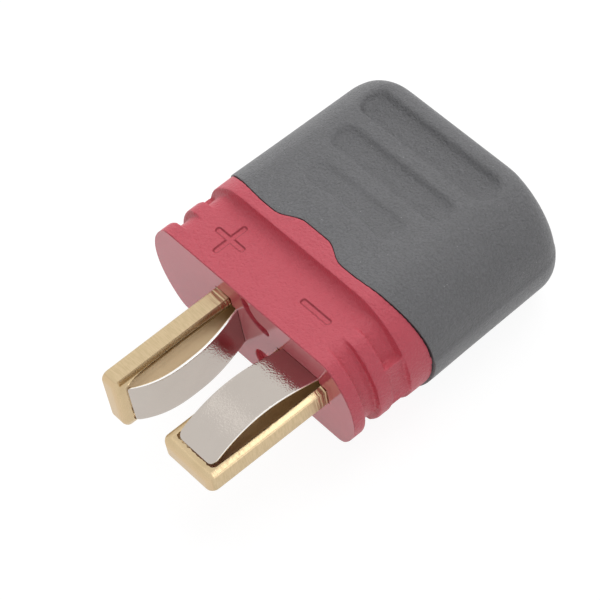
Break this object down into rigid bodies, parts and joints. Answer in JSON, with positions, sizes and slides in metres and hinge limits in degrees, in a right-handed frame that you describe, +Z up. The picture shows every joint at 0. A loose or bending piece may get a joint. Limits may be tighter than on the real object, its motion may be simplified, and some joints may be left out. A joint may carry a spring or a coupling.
{
  "type": "t plug battery connector",
  "caption": "Male power connector with crossed flat blades, bowed contact springs, a keyed nylon body and a sliding insulating sheath.",
  "frame": {"origin": "bottom centre of the whole connector's box, under its lower broad side", "axes": "+X along the front face from the positive blade to the negative one, +Y from the blade tips to the wire outlet, +Z up out of the broad side that carries the plus and minus signs"},
  "size_m": [0.0166, 0.0234, 0.0081],
  "materials": {
    "nylon_red": "satin, with a polished front face",
    "gold_plate": "gold plated, brushed edges",
    "nickel": "satin nickel",
    "sheath_grey": "fine grained matte"
  },
  "bodies": {
    "housing": {"housing": "nylon_red", "blade_plus": "gold_plate", "blade_minus": "gold_plate"},
    "plus_spring": {"spring_plus": "nickel"},
    "minus_spring": {"spring_minus": "nickel"},
    "sheath": {"sheath": "sheath_grey"}
  },
  "joints": [
    {"name": "sheath_slide", "type": "slide", "parent": "housing", "child": "sheath", "axis": [0, 1, 0], "range_m": [0, 0.01]},
    {"name": "plus_contact_flex", "type": "slide", "parent": "housing", "child": "plus_spring", "axis": [-1, 0, 0], "range_m": [0, 0.0003], "stiffness_N_per_m": 3000},
    {"name": "minus_contact_flex", "type": "slide", "parent": "housing", "child": "minus_spring", "axis": [0, 0, -1], "range_m": [0, 0.0003], "stiffness_N_per_m": 3000}
  ]
}
